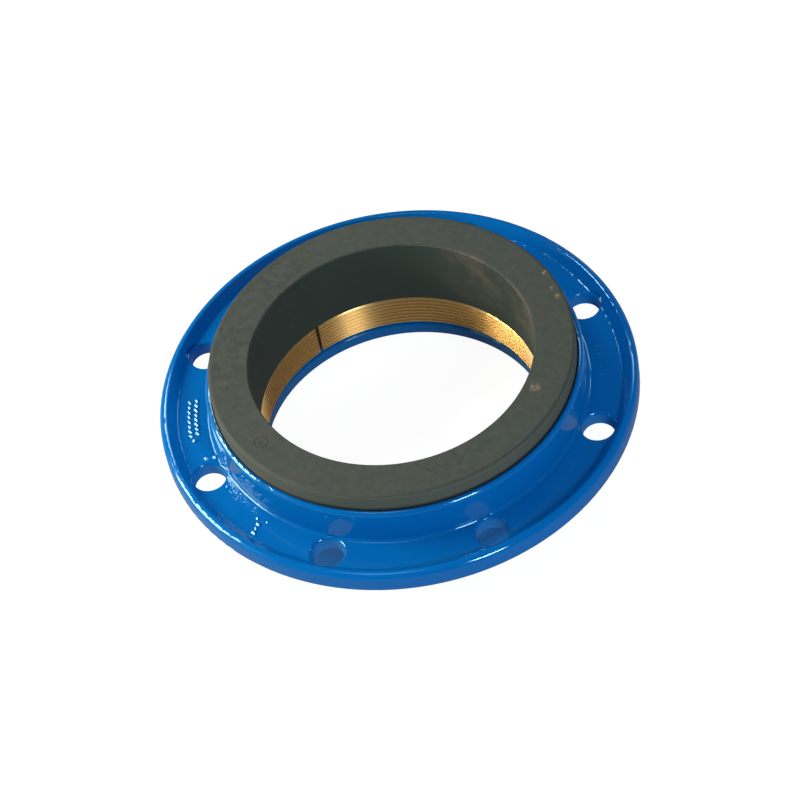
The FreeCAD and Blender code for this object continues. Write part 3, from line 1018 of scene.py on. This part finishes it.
def pad_outline(straight, width):
    """Points round a bar with half-round ends. straight is half the length of its sides."""
    points = []
    for side in (1, -1):
        for step in range(END_STEPS + 1):
            angle = math.pi * (step / END_STEPS - side / 2)
            points.append(Vector((side * straight + math.cos(angle) * width / 2,
                                  math.sin(angle) * width / 2, 0)))
    return points


def domed_pad(bm, place, length, width, slope):
    """Rings of the outline that draw in and rise along the profile, closed by a cap."""
    height = math.tan(math.radians(slope)) * width / 2 * FLANK_RATIO
    straight = (length - width) / 2
    outline = pad_outline(straight, width)
    rings = []
    for drawn_in, risen in PAD_PROFILE:
        lift = Vector((0, 0, height * risen - PAD_SINK))
        ring = []
        for point in outline:
            spine = Vector((max(min(point.x, straight), -straight), 0, 0))
            ring.append(bm.verts.new(place @ (point.lerp(spine, drawn_in) + lift)))
        rings.append(ring)
    for low, high in zip(rings, rings[1:]):
        for this, after in zip(range(len(outline)), [*range(1, len(outline)), 0]):
            bm.faces.new((low[this], low[after], high[after], high[this]))
    bm.faces.new(rings[-1])


print("a pad has", len(PAD_PROFILE), "rings of", len(pad_outline(MM, MM)), "points")

# %% [markdown]
# Rows of marks.
#
# Each row is one pad: its place on the web, the way it points, and its size. They are plain pips
# and bars that say nothing. Flanks of 40 degrees throw the low left lamp at the camera, which makes
# the marks at the left and in front sparkle, while the pips on the right are flatter. Beside them
# the coat has run into low drops and specks. The specks are strewn by chance, with a fixed seed, so
# they come out the same every time.

# %% Rows of marks
SPECK_SEED = 7
SPECK_DRAWS = random.Random(SPECK_SEED)
SPECK_TURN = (60, 100)                  # degrees from the radius
SPECK_STRETCH = (1.2, 2.2)              # length against width
BAR_COUNT = 8                           # bars in each row of the left marks
BAR_PITCH = 1.72                        # degrees from one bar to the next
BAR_TURN = -52


def bar_row(radius, azimuth, lengths, width):
    """Rows for slanted bars side by side, whose lengths come round in turn."""
    return [(radius, azimuth + BAR_PITCH * number, BAR_TURN, lengths[number % len(lengths)], width)
            for number in range(BAR_COUNT)]


def strewn(count, radius, azimuth, size):
    """Rows for small drops of coat over a patch, with each range given as (low, high)."""
    rows = []
    for _ in range(count):
        wide = SPECK_DRAWS.uniform(*size)
        rows.append((SPECK_DRAWS.uniform(*radius), SPECK_DRAWS.uniform(*azimuth),
                     SPECK_DRAWS.uniform(*SPECK_TURN), wide * SPECK_DRAWS.uniform(*SPECK_STRETCH),
                     wide))
    return rows


MARKS = {
    # name: (slope of the flanks in degrees, and rows of
    #        radius in mm, azimuth in degrees, turn from the radius, length, width in mm)
    "date_pips": (24, [(144.3, 6.6, 0, 2.0, 2.0), (143.5, 3.7, 0, 2.2, 2.2),
                       (143.4, 1.3, 0, 2.2, 2.2), (143.7, -1.0, 0, 2.0, 2.0),
                       (143.8, -3.4, 0, 2.2, 2.2)]),
    "left_marks": (40, bar_row(149.2, 174.8, (5.6, 4.9), 2.7)
                   + bar_row(144.2, 174.3, (4.8, 5.4, 6.0), 2.6)
                   + [(147.4, 188.6, BAR_TURN, 5.2, 4.0)]),
    "front_mark": (40, [(143.2, -136.2, 78, 4.2, 2.6), (146.6, -134.6, 83, 5.4, 2.8),
                        (150.2, -134.2, 70, 4.4, 2.7), (154.0, -133.6, 83, 6.4, 3.4),
                        (141.7, -133.0, 83, 3.2, 2.4)]),
    "coat_drops": (15, [(143.8, -163.8, 90, 7.4, 4.8), (137.6, -163.2, 86, 7.0, 4.6)]),
    "coat_specks": (15, strewn(30, (136.8, 143.5), (-152.5, -145.5), (1.4, 2.8))
                    + strewn(14, (136.8, 141.0), (-145.5, -137.5), (1.2, 2.4))),
}
print("rows of marks:", {name: len(rows) for name, (slope, rows) in MARKS.items()})

# %% [markdown]
# Placing the marks.
#
# The marks are cast with the flange and lie under its coat, so they ride on the part's body and
# wear the same finish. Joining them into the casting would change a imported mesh, which stays as it
# is. A matrix that turns round the axis, goes out to the radius and turns on the spot puts each pad
# where its row says, flat on the web. In a round pip the two ends meet, and points that fall
# together are welded into one.

# %% Place the marks
WELD = 0.0001 * MM                      # points nearer than this are one point


def on_web(radius, azimuth, turn):
    """The place and direction of a pad, by its radius in millimetres and two angles in degrees."""
    spin = Matrix.Rotation(math.radians(azimuth), 4, "Z")
    stand = Matrix.Translation(Vector((radius * MM, 0, WEB_TOP)))
    return spin @ stand @ Matrix.Rotation(math.radians(turn), 4, "Z")


def make_marks(name, slope, rows):
    bm = bmesh.new()
    for radius, azimuth, turn, length, width in rows:
        domed_pad(bm, on_web(radius, azimuth, turn), length * MM, width * MM, slope)
    bmesh.ops.remove_doubles(bm, verts=bm.verts, dist=WELD)
    bm.normal_update()
    mesh = bpy.data.meshes.new(name)
    bm.to_mesh(mesh)
    bm.free()
    mesh.shade_smooth()
    mesh.materials.append(BLUE_EPOXY)
    piece = bpy.data.objects.new(name, mesh)
    bpy.context.scene.collection.objects.link(piece)
    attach(piece, "root")
    return piece


for name, (slope, rows) in MARKS.items():
    piece = make_marks(name, slope, rows)
    print(piece.name, "has", len(rows), "pads and", len(piece.data.polygons), "faces")
